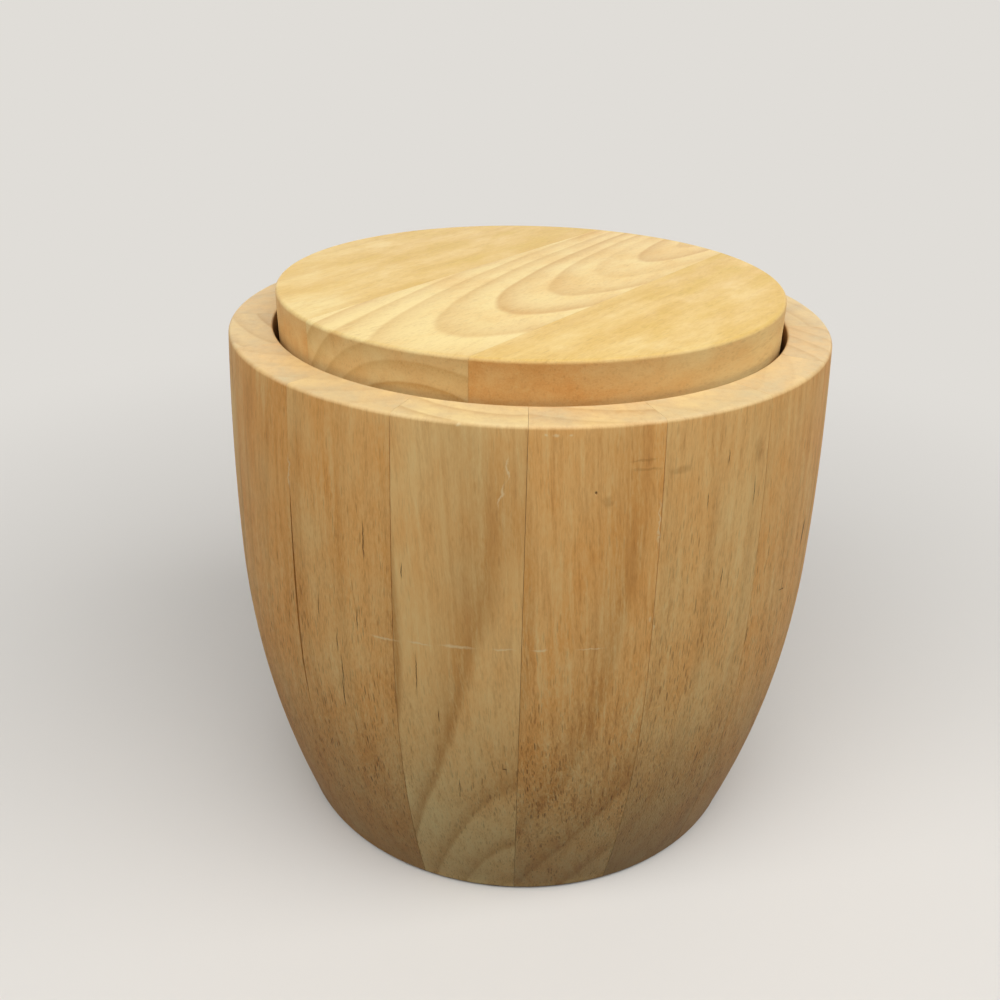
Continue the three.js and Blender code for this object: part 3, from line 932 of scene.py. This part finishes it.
# %% [markdown]
# ## Floor
# A round pale floor that curves up at its edge, so that no view shows a horizon. It looks pale to the camera
# and in reflections, and gives back less light to the wood than it shows, as a dark table would.
# Close to the bucket it is plain lit paper, so that the shadow stays. Further off it turns to an even haze.

# %% Floor
HAZE_FROM, HAZE_TO = 0.16, 0.55  # metres from the middle
COVE_RADIUS, COVE_STEPS = 900.0, 24
# Matt paper gives the eye no sheen at all, only the shadow.
pale_floor, tree = new_material("floor_paper_matt")
ray = add(tree, "LightPath").outputs
seen = add(tree, "Math", {0: ray["Is Camera Ray"], 1: ray["Is Glossy Ray"]}, operation="MAXIMUM")
seen = add(tree, "Math", {0: seen, 1: ray["Is Transmission Ray"]}, operation="MAXIMUM")
paper = add(tree, "Mix", {"Factor": seen, "A": linear("#2B2A29"), "B": linear("#E2DFDA")}, data_type="RGBA")
matt = add(tree, "BsdfDiffuse", {"Color": paper.outputs["Result"]})
away = add(tree, "VectorMath", {0: add(tree, "TexCoord").outputs["Object"]}, operation="LENGTH")
far = add(tree, "MapRange", {"Value": away.outputs["Value"], "From Min": HAZE_FROM, "From Max": HAZE_TO},
          interpolation_type="SMOOTHSTEP")
far = add(tree, "Math", {0: far, 1: seen}, operation="MULTIPLY")
haze = add(tree, "Emission", {"Color": linear("#E0DDD8"), "Strength": 1.0})
add(tree, "OutputMaterial", {"Surface": add(tree, "MixShader", {0: far, 1: matt, 2: haze})})
cove = [(0.0, 0.0), (600.0, 0.0), *corner(1800.0, COVE_RADIUS, COVE_RADIUS, -90, 0, COVE_STEPS),
        (2700.0, 2600.0)]
mesh = mesh_of(spun(cove), "floor")
mesh.shade_smooth()
mesh.materials.append(pale_floor)
floor = bpy.data.objects.new("floor", mesh)
bpy.context.scene.collection.objects.link(floor)
floor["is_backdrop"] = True
print("floor is", 2 * cove[-1][0] * MM, "m across")

# %% [markdown]
# ## Camera
# The view was fitted to the outline of the bucket: a lens as long as the picture is wide, a little above
# the rim, looking down at twenty-seven degrees. A free guess would shift every edge against the real one.

# %% Camera
PITCH, YAW, ROLL, ROUND = (math.radians(degrees) for degrees in (27.084, 1.507, 1.014, -0.4))
AWAY, ABOVE = 334.65, 278.71  # millimetres in front of the axis and above the floor
FRAME_MM = 36.0
camera = bpy.data.objects.new("camera", bpy.data.cameras.new("camera"))
camera.data.sensor_width = FRAME_MM
camera.data.lens = FRAME_MM
camera.data.clip_start, camera.data.clip_end = 0.01, 20.0
turn = Matrix.Rotation(YAW, 4, "Z") @ Matrix.Rotation(math.pi / 2 - PITCH, 4, "X")
turn = turn @ Matrix.Rotation(ROLL, 4, "Z")
camera.matrix_world = (
    Matrix.Rotation(ROUND, 4, "Z") @ Matrix.Translation((0, -AWAY * MM, ABOVE * MM)) @ turn
)
bpy.context.scene.collection.objects.link(camera)
bpy.context.scene.camera = camera
print("camera at", [round(v, 3) for v in camera.matrix_world.translation])

# %% [markdown]
# ## Light
# One large soft lamp hangs above the front, as the photograph's shading shows, with a weak even light from
# all round. A low wide panel behind only fills the shaded back, and the camera doesn't see it.
# A white level surface under them renders just below white, so colours come out about as they are written.

# %% Light
# The power in watts, the width and height of the panel in metres, and its place.
LAMPS = {"overhead": (27.0, (3.5, 0.8), (0.1, -0.5, 1.0)), "fill": (9.0, (2.5, 0.5), (0.0, 1.5, 0.4))}
AIM = Vector((0, 0, 0.12))
SKY_STRENGTH = 0.12
for name, (watts, size, place) in LAMPS.items():
    lamp = bpy.data.objects.new(name, bpy.data.lights.new(name, "AREA"))
    lamp.data.shape = "RECTANGLE"
    lamp.data.size, lamp.data.size_y = size
    lamp.data.energy = watts
    lamp.location = place
    lamp.rotation_mode = "QUATERNION"
    lamp.rotation_quaternion = (AIM - lamp.location).to_track_quat("-Z", "Y")
    lamp.visible_camera = False
    bpy.context.scene.collection.objects.link(lamp)
    print("lamp", name, watts, "W")
world = bpy.data.worlds.new("studio")
bpy.context.scene.world = world
world.use_nodes = True
world.node_tree.nodes.clear()
sky = add(world.node_tree, "Background", {"Color": linear("#F4F2EE"), "Strength": SKY_STRENGTH})
add(world.node_tree, "OutputWorld", {"Surface": sky})
bpy.context.scene.view_settings.view_transform = "Standard"
print("world strength", SKY_STRENGTH)

# %% Finish
low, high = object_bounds()
print("visual box in mm:", [round(v / MM, 1) for v in (*low, *high)])
